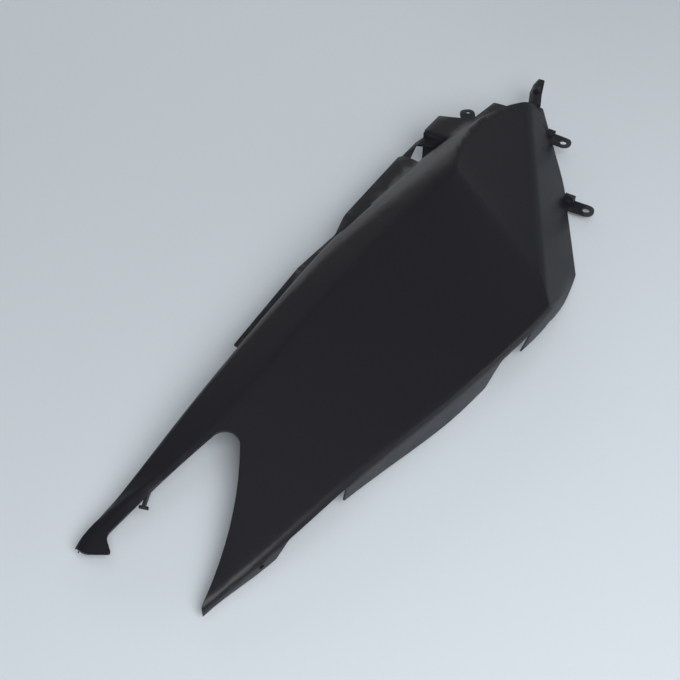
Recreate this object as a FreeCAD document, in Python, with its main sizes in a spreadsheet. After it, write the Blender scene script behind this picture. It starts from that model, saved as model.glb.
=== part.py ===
import FreeCAD, Part
import math
import os

import Sketcher
from FreeCAD import Placement, Rotation, Vector

# Scooter rear fairing panel, left-hand side, moulded in one piece.
# It lies outer face up: +X runs from the forked front to the rear corner, +Y to the seat edge, +Z outwards.

doc = FreeCAD.newDocument("fairing")
sheet = doc.addObject("Spreadsheet::Sheet", "sizes")
doc.recompute()

# Sizes of the moulding in mm and degrees
SIZES = {
    "wall": 2.5,
    "skirt": 12,
    "nose_x": -450,
    "station_pitch": 90,
    "rear_sweep": 32.5,
    "rear_crease_out": 148,
    "rear_crease_z": 54,
    "rear_crease_r": 40,
    "facet_fall": 19.5,
    "rear_fall": 46,
    "ledge_z": 43,
    "block_base": 0,
    "block_top": 56,
    "block_hole_x": 300.5,
    "block_hole_y": 105.5,
    "block_hole_d": 5.5,
    "upper_tab_z": 21.5,
    "upper_hole_x": 355.5,
    "upper_hole_y": -2.5,
    "lower_tab_z": 7.5,
    "lower_hole_x": 271.5,
    "lower_hole_y": -81,
    "tab_hole_d": 9,
    "stop_rise": 9,
    "upper_stop_rise": 6,
    "hook_z": 36.5,
    "hook_depth": 4,
    "hook_rise": 6.5,
    "clip_z": 28,
    "clip_depth": 6,
    "lip_hole_x": -349,
    "lip_hole_z": 19,
    "lip_hole_d": 5.5,
    "lip_boss_d": 11,
    "lip_boss_in": 75,
    "lip_boss_out": 83,
    "cut_start": 200,
    "lower_cut_y": -55,
    "seat_cut_y": 40,
}

# Stations of the loft: one section across the panel every station_pitch, from nose_x on.
# foot is the lower wall's bottom, low the rolled lower edge, ridge the soft crease, top the seat edge's roll.
FIELDS = ("foot_y", "low_y", "low_z", "low_r", "ridge_y", "ridge_z", "ridge_r", "top_y", "top_z", "top_r")
STATIONS = {
    "nose": (-63, -68, 11, 6, 56, 13, 8, 65.5, 10.5, 4),
    "prong": (-78, -83.5, 27, 9, 52, 36, 14, 68.5, 29.5, 4.5),
    "fork": (-92, -99, 38, 9, 36, 54, 28, 74, 49, 7),
    "shoulder": (-107, -114.5, 43, 9, 36, 65.4, 42, 82, 59, 10),
    "waist": (-122, -130, 46, 9, 41, 74, 45, 91, 68, 19),
    "middle": (-127, -142, 48, 9, 43, 80.3, 55, 100, 75.5, 32),
    "hip": (-141, -140, 49.5, 11, 41, 85.3, 60, 105, 82, 50),
    "corner": (-128, -93, 57, 13, 39, 87.5, 50, 104.5, 84.5, 56),
    "facet": (-95, -38, 64, 14, 37, 85, 40, 90, 77, 38),
    "tail": (-55, 5, 66, 12, 33, 74, 40, 60.5, 63, 12),
    "end": (-15, 5, 56, 6, 18, 60, 12, 32, 52, 5),
}

# Outlines seen from above, each point with its x, y and corner radius
PLAN = {
    "fork_cut": {
        "outside": (-490, 95),
        "toe_top": (-428, 95),
        "toe_bend": (-431, 56, 12),
        "toe_tip": (-417.5, 34, 2),
        "neck": (-407.5, 49.9, 8),
        "root": (-243.5, 23.9, 15),
        "bow": (-333, -47, 360),
        "lower_tip": (-418, -68.5, 5),
        "lower_end": (-396, -92),
        "clear": (-490, -92),
    },
    "ledge": {
        "front_in": (-170, 80),
        "front_out": (-170, 93),
        "strip": (-40, 110.3, 40),
        "pinch": (28, 110, 20),
        "swell": (60, 121, 60),
        "wide": (186, 132),
        "step": (190.5, 129.3),
        "rim": (222, 131),
        "block": (246, 128),
        "rear_in": (246, 94),
        "hip_in": (180, 101),
        "relief_rear": (85, 84),
        "relief_front": (0, 84),
        "waist_in": (-90, 88),
    },
    "ledge_window": {
        "front_in": (193, 107),
        "front_out": (193, 119.5, 2),
        "rear_out": (220, 128, 2),
        "rear_in": (229, 107),
    },
    "edge_relief": {
        "front_out": (10, 125),
        "front_in": (14, 89, 8),
        "rear_in": (74, 89, 8),
        "rear_out": (74, 125),
    },
    "block": {
        "front_in": (240, 94.4),
        "front_out": (235.5, 128.5, 3),
        "back": (273, 130.5, 3),
        "shoulder": (285, 106),
        "saddle": (298, 93),
        "peak": (337, 90, 3),
        "peak_in": (341, 67.8),
        "rear_in": (300, 79.8),
    },
    "block_tab": {
        "base_front": (281, 103),
        "base_rear": (294, 90),
        "end_rear": (310.5, 103.5, 7.5),
        "end_front": (298, 116.5, 7.5),
    },
    "upper_tab": {
        "base_front": (346, 20),
        "base_rear": (365, 22),
        "end_rear": (366, -12, 9),
        "end_front": (347, -12, 9),
    },
    "lower_tab": {
        "base_front": (258, -49),
        "base_rear": (277, -44),
        "end_rear": (282, -89, 9),
        "end_front": (263, -92, 9),
    },
    "upper_stop": {
        "base_front": (357, 23),
        "base_rear": (366, 24),
        "end_rear": (366.5, 14.5),
        "end_front": (358, 13.5),
    },
    "lower_stop": {
        "base_front": (271, -50),
        "base_rear": (279, -49),
        "end_rear": (280, -62),
        "end_front": (272, -63),
    },
    "tail_hook": {
        "base_in": (376, 60),
        "base_out": (388, 50),
        "bend": (408, 60),
        "end_out": (438, 72.3, 1.5),
        "end_in": (437, 80.5, 1.5),
        "step_out": (421, 79.5),
        "step_in": (402.5, 74.5),
        "root_in": (383, 65),
    },
    "hook_lip": {
        "base_in": (407, 72),
        "base_out": (409, 64),
        "end_out": (422, 69),
        "end_in": (420, 77),
    },
    "clip_arm": {
        "root_in": (-352, 48),
        "root_out": (-350, 45.5),
        "end_out": (-368, 36.5),
        "end_in": (-369, 39),
    },
    "clip_head": {
        "front_in": (-370.5, 42),
        "front_out": (-367, 33.5),
        "rear_out": (-365, 34.5),
        "rear_in": (-368.5, 43),
    },
}

# Outlines seen from the side, each point with its x, z and corner radius
SIDE = {
    "lower_trim": {
        "under": (-490, -60),
        "outside": (-490, -1),
        "lip_end": (-332, 13, 6),
        "kink": (-318, 27, 8),
        "bare_end": (-244, 35),
        "flange_front": (-244, 14),
        "flange_rear": (-34, 0),
        "flange_up": (-24, 39, 6),
        "bare_rear": (26, 41),
        "second_front": (22, 13),
        "second_rear": (75, 21),
        "stop": (75, -60),
    },
    "rear_trim": {
        "under": (70, -60),
        "start": (70, 20),
        "corner": (112, 12, 25),
        "low": (165, 6, 40),
        "rise": (300, 9, 150),
        "tail": (396, 31),
        "tip": (404, 80),
        "outside": (500, 80),
        "stop": (500, -60),
    },
    "seat_trim": {
        "under": (-490, -60),
        "outside": (-490, -1),
        "prong": (-430, 8),
        "fork": (-270, 38, 40),
        "ledge_front": (-172, 43),
        "ledge_rear": (335, 43),
        "tail": (365, 24),
        "clear": (500, 22),
        "stop": (500, -60),
    },
}


class Size:
    """A number together with the sheet expression that gives it."""

    def __init__(self, number, text):
        self.number = number
        self.text = text

    def __add__(self, other):
        other = size(other)
        return Size(self.number + other.number, f"({self.text} + {other.text})")

    def __sub__(self, other):
        other = size(other)
        return Size(self.number - other.number, f"({self.text} - {other.text})")

    def __mul__(self, other):
        other = size(other)
        return Size(self.number * other.number, f"({self.text} * {other.text})")

    def __truediv__(self, other):
        other = size(other)
        return Size(self.number / other.number, f"({self.text} / {other.text})")

    def __neg__(self):
        return Size(-self.number, f"(0 - {self.text})")


def size(value):
    return value if isinstance(value, Size) else Size(float(value), repr(float(value)))


def sin(angle):
    return Size(math.sin(math.radians(angle.number)), f"sin({angle.text})")


def cos(angle):
    return Size(math.cos(math.radians(angle.number)), f"cos({angle.text})")


def tan(angle):
    return Size(math.tan(math.radians(angle.number)), f"tan({angle.text})")


def root(value):
    return Size(math.sqrt(value.number), f"sqrt({value.text})")


def corner_angle(before, corner, after):
    """The angle in degrees by which an outline turns at a corner."""
    back = (before[0] - corner[0], before[1] - corner[1])
    ahead = (after[0] - corner[0], after[1] - corner[1])
    along = back[0] * ahead[0] + back[1] * ahead[1]
    spans = root(back[0] * back[0] + back[1] * back[1]) * root(ahead[0] * ahead[0] + ahead[1] * ahead[1])
    ratio = along / spans
    return Size(180 - math.degrees(math.acos(ratio.number)), f"(180 - acos({ratio.text}) / 1deg)")


CELLS = {}


def write_cells(values):
    for alias, value in values.items():
        row = len(CELLS) + 1
        sheet.set(f"A{row}", alias)
        sheet.set(f"B{row}", str(value))
        sheet.setAlias(f"B{row}", alias)
        CELLS[alias] = Size(float(value), f"sizes.{alias}")


write_cells(SIZES)
for station, values in STATIONS.items():
    write_cells({f"{station}_{field}": value for field, value in zip(FIELDS, values)})
for outlines, up in ((PLAN, "y"), (SIDE, "z")):
    for name, points in outlines.items():
        for point, values in points.items():
            write_cells({f"{name}_{point}_{field}": value for field, value in zip(("x", up, "r"), values)})
doc.recompute()
wall = CELLS["wall"]


def origin_plane(body, role):
    return next(part for part in body.Origin.OriginFeatures if part.Role == role)


def bind(thing, path, value):
    thing.setExpression(path, size(value).text)


def pin(sketch, kind, refs, value):
    """Adds a dimension and ties it to its sheet expression."""
    value = size(value)
    number = math.radians(value.number) if kind == "Angle" else value.number
    index = sketch.addConstraint(Sketcher.Constraint(kind, *refs, number))
    bind(sketch, f"Constraints[{index}]", value)


def new_sketch(body, name, role, height=None, turn=None):
    """A sketch on one of the body's origin planes, moved along its normal or turned about its upright axis."""
    sketch = body.newObject("Sketcher::SketchObject", name)
    sketch.AttachmentSupport = [(origin_plane(body, role), "")]
    sketch.MapMode = "FlatFace"
    if height is not None:
        sketch.AttachmentOffset = Placement(Vector(0, 0, size(height).number), Rotation())
        bind(sketch, "AttachmentOffset.Base.z", height)
    if turn is not None:
        sketch.AttachmentOffset = Placement(Vector(), Rotation(Vector(0, -1, 0), turn.number))
        bind(sketch, "AttachmentOffset.Rotation.Angle", turn)
    return sketch


def join(sketch, kind, *refs):
    sketch.addConstraint(Sketcher.Constraint(kind, *refs))


def add_bend(sketch, centre, radius, start, sweep, turn, pieces, chords):
    """Adds a rounded corner as arcs of equal sweep or as chords of one guide arc; returns its two ends."""
    entry, leave = (1, 2) if sweep > 0 else (2, 1)
    circle = Part.Circle(centre, Vector(0, 0, 1), radius)
    angles = [start + sweep * k / pieces for k in range(pieces + 1)]
    if not chords:
        arcs = []
        for first, last in zip(angles, angles[1:]):
            arc = Part.ArcOfCircle(circle, min(first, last), max(first, last))
            arcs.append(sketch.addGeometry(arc, False))
        for one, following in zip(arcs, arcs[1:]):
            join(sketch, "Coincident", one, leave, following, entry)
            join(sketch, "Coincident", one, 3, following, 3)
            pin(sketch, "Angle", (one,), turn / pieces)
        return (arcs[0], entry), (arcs[-1], leave)
    guide = sketch.addGeometry(Part.ArcOfCircle(circle, min(angles), max(angles)), True)
    spots = [centre + Vector(math.cos(angle), math.sin(angle), 0) * radius for angle in angles]
    lines = [sketch.addGeometry(Part.LineSegment(*ends), False) for ends in zip(spots, spots[1:])]
    join(sketch, "Coincident", guide, entry, lines[0], 1)
    join(sketch, "Coincident", guide, leave, lines[-1], 2)
    for one, following in zip(lines, lines[1:]):
        join(sketch, "Coincident", one, 2, following, 1)
        join(sketch, "PointOnObject", following, 1, guide)
        join(sketch, "Equal", one, following)
    return (guide, entry), (guide, leave)


def draw(sketch, corners, chords=False):
    """Draws a closed outline through corners (across, up, radius, pieces); one with a radius is rounded."""
    spots = [Vector(size(c[0]).number, size(c[1]).number, 0) for c in corners]
    count = len(corners)
    ends = []
    bends = {}
    for i, (spot, corner) in enumerate(zip(spots, corners)):
        if len(corner) < 3:
            ends.append((spot, spot))
            continue
        back = (spots[i - 1] - spot).normalize()
        ahead = (spots[(i + 1) % count] - spot).normalize()
        radius = size(corner[2]).number
        half = back.getAngle(ahead) / 2
        reach = radius / math.tan(half)
        centre = spot + (back + ahead).normalize() * (radius / math.sin(half))
        ends.append((spot + back * reach, spot + ahead * reach))
        spoke = ends[i][0] - centre
        sweep = math.copysign(math.pi - 2 * half, ahead.cross(back).z)
        bends[i] = (centre, radius, math.atan2(spoke.y, spoke.x), sweep)
    lines = [
        sketch.addGeometry(Part.LineSegment(ends[i][1], ends[(i + 1) % count][0]), False) for i in range(count)
    ]
    for i, corner in enumerate(corners):
        before, after = lines[i - 1], lines[i]
        if i not in bends:
            join(sketch, "Coincident", before, 2, after, 1)
            pin(sketch, "DistanceX", (-1, 1, after, 1), corner[0])
            pin(sketch, "DistanceY", (-1, 1, after, 1), corner[1])
            continue
        pieces = corner[3] if len(corner) > 3 else 1
        turn = corner_angle(corners[i - 1], corner, corners[(i + 1) % count]) if pieces > 1 else None
        first, last = add_bend(sketch, *bends[i], turn, pieces, chords)
        point = sketch.addGeometry(Part.Point(spots[i]), True)
        join(sketch, "Tangent", before, 2, *first)
        join(sketch, "Tangent", *last, after, 1)
        join(sketch, "PointOnObject", point, 1, before)
        join(sketch, "PointOnObject", point, 1, after)
        pin(sketch, "DistanceX", (-1, 1, point, 1), corner[0])
        pin(sketch, "DistanceY", (-1, 1, point, 1), corner[1])
        pin(sketch, "Radius", (first[0],), corner[2])
    return sketch


def form(name, inset, pieces, chords=False):
    """The panel as a solid block under its outer faces, every face moved inwards by inset.

    pieces says in how many steps the lower roll, the ridge and the seat edge's roll are drawn.
    """
    body = doc.addObject("PartDesign::Body", name)
    sections = []
    for index, station in enumerate(STATIONS):
        at = {field: CELLS[f"{station}_{field}"] for field in FIELDS}
        base = -(CELLS["skirt"] + inset)
        spot = CELLS["nose_x"] - inset if index == 0 else CELLS["nose_x"] + CELLS["station_pitch"] * index
        sketch = new_sketch(body, f"{name}_{station}", "YZ_Plane", spot)
        draw(
            sketch,
            [
                (at["foot_y"] + inset, base),
                (at["low_y"] + inset, at["low_z"] - inset, at["low_r"] - inset, pieces[0]),
                (at["ridge_y"], at["ridge_z"] - inset, at["ridge_r"] - inset, pieces[1]),
                (at["top_y"] - inset, at["top_z"] - inset, at["top_r"] - inset, pieces[2]),
                (at["top_y"] - inset, base),
            ],
            chords,
        )
        sections.append(sketch)
    loft = body.newObject("PartDesign::AdditiveLoft", f"{name}_skin")
    loft.Profile = sections[0]
    loft.Sections = sections[1:]
    loft.Refine = False
    doc.recompute()

    # Rear end: a gently falling facet, a rounded crease and a steep face, all running along the swept rear edge
    facet, fall = CELLS["facet_fall"], CELLS["rear_fall"]
    spread = sin(fall - facet)
    crease_out = CELLS["rear_crease_out"] - size(inset) * (cos(facet) - cos(fall)) / spread
    crease_z = CELLS["rear_crease_z"] - size(inset) * (sin(fall) - sin(facet)) / spread
    reach_in, reach_out, sky, span = 230, 250, 160, 1500
    sketch = new_sketch(body, f"{name}_rear_lines", "XZ_Plane", turn=size(90) - CELLS["rear_sweep"])
    draw(
        sketch,
        [
            (crease_out - reach_in, crease_z + tan(facet) * reach_in),
            (crease_out, crease_z, CELLS["rear_crease_r"] - inset),
            (crease_out + reach_out, crease_z - tan(fall) * reach_out),
            (crease_out + reach_out, sky),
            (crease_out - reach_in, sky),
        ],
    )
    cut = body.newObject("PartDesign::Pocket", f"{name}_rear")
    cut.Profile = sketch
    cut.Midplane = True
    cut.Length = span
    cut.Refine = False
    doc.recompute()
    return body


panel = form("fairing_panel", size(0), (3, 3, 6))
core = form("hollow", wall, (2, 2, 3), chords=True)
hollow_out = panel.newObject("PartDesign::Boolean", "hollow_out")
hollow_out.Type = "Cut"
hollow_out.Refine = False
hollow_out.setObjects([core])
doc.recompute()


def check(holds, problem):
    if not holds:
        raise RuntimeError(problem)


def points(name, plane):
    """The corners of a named outline, from the sheet."""
    up = "y" if plane == "XY_Plane" else "z"
    corners = []
    for point, values in (PLAN if plane == "XY_Plane" else SIDE)[name].items():
        fields = ("x", up, "r")[: len(values)]
        corners.append(tuple(CELLS[f"{name}_{point}_{field}"] for field in fields))
    return corners


def outline(name, plane, height=None):
    """A sketch of a named outline on one of the panel's planes."""
    return draw(new_sketch(panel, f"{name}_lines", plane, height), points(name, plane))


def offset(path, gap):
    """The corners of an open path moved to its left by gap."""
    normals = []
    for (x1, y1), (x2, y2) in zip(path, path[1:]):
        across, up = x2 - x1, y2 - y1
        length = root(across * across + up * up)
        normals.append((-up / length, across / length))
    moved = []
    for i, (x, y) in enumerate(path):
        before, after = normals[max(i - 1, 0)], normals[min(i, len(normals) - 1)]
        scale = size(gap) / (before[0] * after[0] + before[1] * after[1] + 1)
        moved.append((x + (before[0] + after[0]) * scale, y + (before[1] + after[1]) * scale))
    return moved


def cut(name, sketch, length=None, midplane=False):
    feature = panel.newObject("PartDesign::Pocket", name)
    feature.Profile = sketch
    feature.Refine = False
    feature.Midplane = midplane
    if length is None:
        feature.Type = "ThroughAll"
    else:
        feature.Length = size(length).number
        bind(feature, "Length", length)
    before = panel.Shape.Volume
    doc.recompute()
    check(panel.Shape.Volume < before, f"{name} takes nothing away")


def add(name, sketch, length):
    feature = panel.newObject("PartDesign::Pad", name)
    feature.Profile = sketch
    feature.Refine = False
    feature.Length = size(length).number
    bind(feature, "Length", length)
    before = panel.Shape.Volume
    doc.recompute()
    check(panel.Shape.Volume > before, f"{name} adds nothing")


def disc(name, plane, height, across, up, diameter):
    """A sketch with one circle."""
    sketch = new_sketch(panel, f"{name}_lines", plane, height)
    centre = Vector(across.number, up.number, 0)
    ring = sketch.addGeometry(Part.Circle(centre, Vector(0, 0, 1), diameter.number / 2), False)
    pin(sketch, "DistanceX", (-1, 1, ring, 3), across)
    pin(sketch, "DistanceY", (-1, 1, ring, 3), up)
    pin(sketch, "Diameter", (ring,), diameter)
    return sketch


# Edges: the fork in plan, then the bottoms of the walls in side view
clear = CELLS["cut_start"]
lower_reach = clear + CELLS["lower_cut_y"]
cut("fork_cut", outline("fork_cut", "XY_Plane", clear))
cut("lower_trim", outline("lower_trim", "XZ_Plane", clear), lower_reach)
cut("rear_trim", outline("rear_trim", "XZ_Plane"), clear * 2, midplane=True)
cut("seat_trim", outline("seat_trim", "XZ_Plane", -CELLS["seat_cut_y"]), clear)

# Seat side: a ledge under the rolled edge, a finger relief in the roll and the hollow block behind the window
relief = outline("edge_relief", "XY_Plane", clear)
cut("edge_relief", relief, clear - CELLS["ledge_z"] - wall)
add("ledge", outline("ledge", "XY_Plane", CELLS["ledge_z"]), wall)
cut("ledge_window", outline("ledge_window", "XY_Plane", CELLS["ledge_z"] + wall), wall)
block = points("block", "XY_Plane")
rim = [corner[:2] for corner in block[:-1]]
walls = draw(new_sketch(panel, "block_walls_lines", "XY_Plane", CELLS["block_base"]), rim + offset(rim, -wall)[::-1])
add("block_walls", walls, CELLS["block_top"] - CELLS["block_base"] - wall)
add("block_plate", outline("block", "XY_Plane", CELLS["block_top"] - wall), wall)
add("block_tab", outline("block_tab", "XY_Plane", CELLS["block_top"] - wall), wall)

# Rear edge: two screw tabs, each with its stop, and the hook at the top corner
add("upper_tab", outline("upper_tab", "XY_Plane", CELLS["upper_tab_z"]), wall)
add("upper_stop", outline("upper_stop", "XY_Plane", CELLS["upper_tab_z"]), CELLS["upper_stop_rise"])
add("lower_tab", outline("lower_tab", "XY_Plane", CELLS["lower_tab_z"]), wall)
add("lower_stop", outline("lower_stop", "XY_Plane", CELLS["lower_tab_z"]), CELLS["stop_rise"])
add("tail_hook", outline("tail_hook", "XY_Plane", CELLS["hook_z"]), CELLS["hook_depth"])
add("hook_lip", outline("hook_lip", "XY_Plane", CELLS["hook_z"]), CELLS["hook_rise"])

# Front: the sprung clip inside the fork and the screw boss of the lower prong
add("clip_arm", outline("clip_arm", "XY_Plane", CELLS["clip_z"]), CELLS["clip_depth"])
add("clip_head", outline("clip_head", "XY_Plane", CELLS["clip_z"]), CELLS["clip_depth"] / 2)
boss = disc("lip_boss", "XZ_Plane", CELLS["lip_boss_in"], CELLS["lip_hole_x"], CELLS["lip_hole_z"], CELLS["lip_boss_d"])
add("lip_boss", boss, CELLS["lip_boss_out"] - CELLS["lip_boss_in"])

# Screw holes
for name, height in (("block", CELLS["block_top"]), ("upper", CELLS["upper_tab_z"]), ("lower", CELLS["lower_tab_z"])):
    diameter = CELLS["block_hole_d"] if name == "block" else CELLS["tab_hole_d"]
    face = height if name == "block" else height + wall
    ring = disc(f"{name}_hole", "XY_Plane", face, CELLS[f"{name}_hole_x"], CELLS[f"{name}_hole_y"], diameter)
    cut(f"{name}_hole", ring, wall)
hole = disc("lip_hole", "XZ_Plane", clear, CELLS["lip_hole_x"], CELLS["lip_hole_z"], CELLS["lip_hole_d"])
cut("lip_hole", hole, lower_reach)

# Frame: the origin is under the middle of the panel, on the plane it lies on
box = panel.Shape.optimalBoundingBox(True)
panel.Placement = Placement(Vector(-box.Center.x, -box.Center.y, -box.ZMin), Rotation())
panel.Label = "fairing_panel"
doc.recompute()

for thing in doc.Objects:
    check("Invalid" not in thing.State and "Error" not in thing.State, f"{thing.Name} failed: {thing.State}")
check(not panel.Shape.isNull() and panel.Shape.isValid(), "the panel's shape is not valid")
check(len(panel.Shape.Solids) == 1, "the panel is not one solid")
os.makedirs("parts", exist_ok=True)
panel.Shape.exportStep("parts/fairing_panel.step")
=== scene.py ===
# %% [markdown]
# # Scooter rear fairing panel
# The panel is one injection moulding in black plastic, with a matte show face and plainer edges and tabs.
# Its shape is finished in CAD, so this lesson dresses it: it joins the facets into one smooth skin, parts the satin
# faces that look up from the plain walls and inside, gives both a finish, paints the walls and slopes that turn
# down a lighter black as painted light, and lays the panel on a pale table in soft light.

# %% Load the frame
import math

import bmesh
import bpy
import numpy as np
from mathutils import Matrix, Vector


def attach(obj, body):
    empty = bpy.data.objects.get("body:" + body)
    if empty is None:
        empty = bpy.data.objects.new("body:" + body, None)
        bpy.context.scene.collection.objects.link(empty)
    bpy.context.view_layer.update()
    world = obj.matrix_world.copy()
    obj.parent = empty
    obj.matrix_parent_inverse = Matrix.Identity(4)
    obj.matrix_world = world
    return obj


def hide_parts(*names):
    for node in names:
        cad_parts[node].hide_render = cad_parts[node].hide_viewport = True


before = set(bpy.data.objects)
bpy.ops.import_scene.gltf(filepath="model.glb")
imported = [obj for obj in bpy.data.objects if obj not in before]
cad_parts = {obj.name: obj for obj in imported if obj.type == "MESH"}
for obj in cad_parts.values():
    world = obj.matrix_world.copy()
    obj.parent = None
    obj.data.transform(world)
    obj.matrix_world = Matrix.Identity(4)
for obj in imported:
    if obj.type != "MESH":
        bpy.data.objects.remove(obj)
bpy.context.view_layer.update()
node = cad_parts["fairing_panel"]

# %% [markdown]
# ## One skin from loose facets
# A CAD mesh comes as loose triangles, so light would break at every seam between two faces of the solid.
# Merging the points that lie on each other makes one closed skin. Long triangles are then halved until none is
# longer than a finger's width, because shading is only as smooth as the points that carry it. Each round cuts the
# halved faces along the shorter diagonal, which keeps thin slivers from folding onto their neighbours.
# A remesh would do the same, but it would move the surface and eat the thin wall.

# %% Merge the facets and halve the long edges
TOUCHING = 2e-7
LONGEST = 0.009
HALVINGS = 9


def close_skin(source, touching, longest):
    skin = bmesh.new()
    skin.from_mesh(source)
    bmesh.ops.remove_doubles(skin, verts=skin.verts, dist=touching)
    for _ in range(HALVINGS):
        long = [edge for edge in skin.edges if edge.calc_length() > longest]
        if not long:
            break
        bmesh.ops.subdivide_edges(skin, edges=long, cuts=1)
        wide = [face for face in skin.faces if len(face.verts) > 3]
        bmesh.ops.triangulate(skin, faces=wide, quad_method="SHORT_EDGE")
    mesh = bpy.data.meshes.new("fairing_skin")
    skin.to_mesh(mesh)
    open_edges = sum(len(edge.link_faces) != 2 for edge in skin.edges)
    skin.free()
    return mesh, open_edges


mesh, open_edges = close_skin(node.data, TOUCHING, LONGEST)
panel = bpy.data.objects.new("fairing_panel_skin", mesh)
bpy.context.scene.collection.objects.link(panel)
print("skin", len(mesh.polygons), "triangles,", open_edges, "open edges")

# %% [markdown]
# ## Soft creases
# On the real panel the folds are never sharp: the mould is polished, and each crease fades over a centimetre.
# Edges steeper than thirty degrees stay crisp, and the corners that meet round a point without a crisp edge between
# them share one normal. These shared normals are then averaged with their neighbours a few times, which spreads a
# crease without moving a single point. Large faces count for more, so the small roundings of the ledge and tabs
# stay tight.

# %% Share the corners' normals and spread them across the creases
CRISP = math.radians(30)
SPREAD = 2


def share_corners(mesh, crisp):
    """Numbers the corners so that those on one side of every crisp edge share a number; lists joined numbers."""
    mesh.shade_smooth()
    mesh.set_sharp_from_angle(angle=crisp)
    skin = bmesh.new()
    skin.from_mesh(mesh)
    skin.faces.index_update()
    corner = {(face.index, loop.vert.index): loop_index for face in skin.faces
              for loop, loop_index in zip(face.loops, mesh.polygons[face.index].loop_indices)}
    leader = list(range(len(mesh.loops)))

    def lead(index):
        while leader[index] != index:
            leader[index] = leader[leader[index]]
            index = leader[index]
        return index

    for edge in skin.edges:
        if edge.smooth and len(edge.link_faces) == 2:
            one, other = edge.link_faces
            for vertex in edge.verts:
                leader[lead(corner[one.index, vertex.index])] = lead(corner[other.index, vertex.index])
    skin.free()
    shared = np.unique([lead(index) for index in range(len(leader))], return_inverse=True)[1]
    ends = shared.reshape(-1, 3)
    return shared, np.concatenate([ends[:, (0, 1)], ends[:, (1, 2)], ends[:, (2, 0)]])


def soften(mesh, crisp, rounds):
    shared, joined = share_corners(mesh, crisp)
    flat = np.array([polygon.normal * polygon.area for polygon in mesh.polygons])
    normal = np.zeros((shared.max() + 1, 3))
    np.add.at(normal, shared, np.repeat(flat, 3, axis=0))
    for _ in range(rounds):
        total = normal.copy()
        np.add.at(total, joined[:, 0], normal[joined[:, 1]])
        np.add.at(total, joined[:, 1], normal[joined[:, 0]])
        normal = total
    normal /= np.maximum(np.linalg.norm(normal, axis=1, keepdims=True), 1e-12)
    corner_normal = normal[shared]
    mesh.normals_split_custom_set(corner_normal.tolist())
    return corner_normal


corner_normal = soften(mesh, CRISP, SPREAD)
print("corners", len(corner_normal))

# %% [markdown]
# ## Show face and plain moulding
# The show face is what the eye glides over on the outside: crown, rolled edges and rear face. The flanges that hide
# behind the next panel and the inside come straight from the mould. Their slope tells them apart: the show face
# fades out where the skin turns down into a flange, and the inside looks down. The tops of the ledge and block look
# up, so they share the satin finish. A walk from the highest point that never crosses a crisp edge also leaves out
# The answer goes into an attribute of the mesh. The slope fade also sets where the colour turns lighter, so the
# walls and slopes that turn down carry painted light.

# %% Walk over the show face
FLANGE_START, FLANGE_FULL = 0.42, 0.18


def walk_show_face(mesh):
    skin = bmesh.new()
    skin.from_mesh(mesh)
    first = max(skin.faces, key=lambda face: face.calc_center_median().z)
    found = {first.index}
    waiting = [first]
    while waiting:
        for edge in waiting.pop().edges:
            for face in edge.link_faces if edge.smooth else ():
                if face.index not in found:
                    found.add(face.index)
                    waiting.append(face)
    skin.free()
    outside = np.zeros(len(mesh.polygons))
    outside[list(found)] = 1
    return outside


outside = np.repeat(walk_show_face(mesh), 3)
# Fading by slope also lightens the colour of the downward slopes, which is painted light.
show = outside * np.clip((corner_normal[:, 2] - FLANGE_FULL) / (FLANGE_START - FLANGE_FULL), 0, 1)
mesh.attributes.new("show_face", "FLOAT", "CORNER").data.foreach_set("value", show.astype(np.float32))
print("show face corners", int((show > 0.5).sum()), "of", len(show))

# %% [markdown]
# ## Matte black show face
# The show face is a satin black with a very fine spark-eroded grain that breaks reflections into a soft sheen.
# The grain is far finer than a pixel, so most of it is roughness, with a little bump on top. Slow cloudy changes
# of roughness keep the large crown from looking like a flat fill. The plain moulding is duller, with the faint flow
# marks of the plastic. Its lighter, greyer base colour is painted light: it stands in for the light that falls on
# the flanges and the slopes turning down to the near side.

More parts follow.
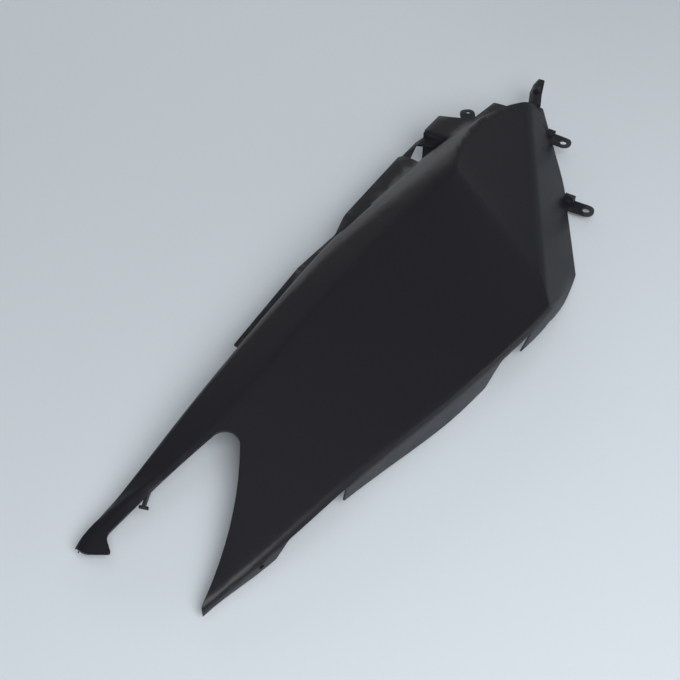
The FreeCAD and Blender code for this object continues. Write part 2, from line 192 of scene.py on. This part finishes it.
# %% Build the plastic's nodes
def plastic(name):
    material = bpy.data.materials.new(name)
    material.use_nodes = True
    nodes, links = material.node_tree.nodes, material.node_tree.links
    shader = nodes["Principled BSDF"]
    shader.inputs["IOR"].default_value = 1.46
    shader.inputs["Specular IOR Level"].default_value = 0.3
    where = nodes.new("ShaderNodeTexCoord")
    mask = nodes.new("ShaderNodeAttribute")
    mask.attribute_name = "show_face"

    def noise(scale, detail):
        cloud = nodes.new("ShaderNodeTexNoise")
        cloud.inputs["Scale"].default_value = scale
        cloud.inputs["Detail"].default_value = detail
        links.new(where.outputs["Object"], cloud.inputs["Vector"])
        return cloud.outputs["Fac"]

    def span(value, low, high):
        ramp = nodes.new("ShaderNodeMapRange")
        ramp.inputs["From Min"].default_value = 0.3
        ramp.inputs["From Max"].default_value = 0.7
        ramp.inputs["To Min"].default_value = low
        ramp.inputs["To Max"].default_value = high
        links.new(value, ramp.inputs["Value"])
        return ramp.outputs["Result"]

    def choose(kind, plain, shown):
        mix = nodes.new("ShaderNodeMix")
        mix.data_type = kind
        ends = [socket for socket in mix.inputs if socket.enabled and socket.name in ("A", "B")]
        factor = next(socket for socket in mix.inputs if socket.enabled and socket.name == "Factor")
        links.new(mask.outputs["Fac"], factor)
        for socket, value in zip(ends, (plain, shown)):
            if isinstance(value, bpy.types.NodeSocket):
                links.new(value, socket)
            else:
                socket.default_value = value
        return next(socket for socket in mix.outputs if socket.enabled)

    clouds = noise(9, 3)
    flow = noise(55, 4)
    grain = noise(2600, 2)
    # Painted light: the plain moulding and the slopes that turn down get a lighter base colour than the show face.
    tone_with_painted_light = choose("RGBA", (0.034, 0.034, 0.04, 1), (0.0108, 0.0109, 0.0142, 1))
    links.new(tone_with_painted_light, shader.inputs["Base Color"])
    links.new(choose("FLOAT", span(flow, 0.5, 0.6), span(clouds, 0.37, 0.42)), shader.inputs["Roughness"])
    bump = nodes.new("ShaderNodeBump")
    bump.inputs["Strength"].default_value = 0.12
    bump.inputs["Distance"].default_value = 0.0001
    links.new(grain, bump.inputs["Height"])
    links.new(bump.outputs["Normal"], shader.inputs["Normal"])
    return material


black = plastic("matte_black_plastic")
mesh.materials.clear()
mesh.materials.append(black)
print("finish", black.name, len(black.node_tree.nodes), "nodes")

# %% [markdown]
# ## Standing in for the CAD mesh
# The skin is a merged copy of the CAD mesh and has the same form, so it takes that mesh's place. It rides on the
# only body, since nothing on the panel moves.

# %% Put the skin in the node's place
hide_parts("fairing_panel")
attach(panel, "root")
print("in place", panel.name)

# %% [markdown]
# ## Table
# A pale, slightly blue table top carries the shadow. It is one large sheet, so no horizon crosses the picture.

# %% Lay the table
TABLE_COLOUR = (0.7, 0.76, 0.81, 1)
TABLE_HALF = 6


def lay_table(colour, half):
    sheet = bpy.data.meshes.new("table")
    sheet.from_pydata([(-half, -half, 0), (half, -half, 0), (half, half, 0), (-half, half, 0)], [], [(0, 1, 2, 3)])
    table = bpy.data.objects.new("table", sheet)
    bpy.context.scene.collection.objects.link(table)
    material = bpy.data.materials.new("pale_table")
    material.use_nodes = True
    shader = material.node_tree.nodes["Principled BSDF"]
    shader.inputs["Base Color"].default_value = colour
    shader.inputs["Roughness"].default_value = 0.45
    shader.inputs["Specular IOR Level"].default_value = 0.3
    sheet.materials.append(material)
    return table


table = lay_table(TABLE_COLOUR, TABLE_HALF)
print("table", table.dimensions[:])

# %% [markdown]
# ## Soft studio light
# Black plastic shows its shape by what it mirrors. The room is dim from the horizon to half-way up and pale
# overhead, so the crown stays black, and only its front, which mirrors a higher part, is a little lighter. A large
# softbox stands high on the near side, so the shadow stays soft and close to the panel. A low strip behind the seat
# edge and two small lamps beyond the rear face draw the long highlights on the folds, and a fill beyond the lower
# edge lightens the slopes that turn down to it.

# %% Paint the room and hang the lights
ROOM = ((0, 0.12), (14, 0.17), (30, 0.12), (54, 0.1), (70, 0.5), (90, 0.85))


def paint_room(levels):
    """A world whose brightness follows the height above the horizon, in degrees."""
    world = bpy.data.worlds.new("studio")
    world.use_nodes = True
    nodes, links = world.node_tree.nodes, world.node_tree.links
    where = nodes.new("ShaderNodeTexCoord")
    split = nodes.new("ShaderNodeSeparateXYZ")
    ramp = nodes.new("ShaderNodeValToRGB")
    links.new(where.outputs["Generated"], split.inputs["Vector"])
    links.new(split.outputs["Z"], ramp.inputs["Fac"])
    links.new(ramp.outputs["Color"], nodes["Background"].inputs["Color"])
    stops = ramp.color_ramp.elements
    for _ in levels[2:]:
        stops.new(0.5)
    for stop, (height, level) in zip(stops, levels):
        stop.position = math.sin(math.radians(height))
        stop.color = (level * 0.94, level * 0.97, level, 1)
    return world


def softbox(name, place, width, height, power):
    data = bpy.data.lights.new(name, "AREA")
    data.shape = "RECTANGLE"
    data.size, data.size_y = width, height
    data.energy = power
    lamp = bpy.data.objects.new(name, data)
    lamp.location = place
    lamp.rotation_mode = "QUATERNION"
    lamp.rotation_quaternion = (-Vector(place)).to_track_quat("-Z", "Y")
    bpy.context.scene.collection.objects.link(lamp)
    return lamp


bpy.context.scene.world = paint_room(ROOM)
lamps = [
    softbox("key", (-1.1, -1.5, 1.8), 1.6, 1.6, 57),
    softbox("seat_strip", (1.3, 1.9, 0.7), 2.4, 1.1, 10),
    softbox("rear_strip", (1.87, -0.33, 0.66), 0.35, 0.35, 0.2),
    softbox("rear_high", (1.9, 0.15, 1.25), 0.5, 0.5, 1),
    softbox("lower_fill", (0.75, -1.5, 0.4), 1.2, 0.5, 4),
]
print("lights", {lamp.name: lamp.data.energy for lamp in lamps})

# %% [markdown]
# ## Camera
# The camera looks down at about forty-five degrees from the forked end, over the lower edge, with a short
# telephoto lens, and the panel runs up the picture from corner to corner.

# %% Set the camera
LOOK_AT = Vector((-0.0696, 0.041, 0))
AZIMUTH, ELEVATION, DISTANCE, LENS = math.radians(306), math.radians(46), 1.29, 63.53


def set_camera():
    data = bpy.data.cameras.new("camera")
    data.lens, data.sensor_width = LENS, 36
    camera = bpy.data.objects.new("camera", data)
    back = Vector(
        (
            math.sin(AZIMUTH) * math.cos(ELEVATION),
            -math.cos(AZIMUTH) * math.cos(ELEVATION),
            math.sin(ELEVATION),
        )
    )
    camera.location = LOOK_AT + back * DISTANCE
    camera.rotation_mode = "QUATERNION"
    camera.rotation_quaternion = (-back).to_track_quat("-Z", "Y")
    bpy.context.scene.collection.objects.link(camera)
    bpy.context.scene.camera = camera
    return camera


camera = set_camera()
bpy.context.scene.view_settings.view_transform = "Standard"
print("camera", [round(v, 3) for v in camera.location])
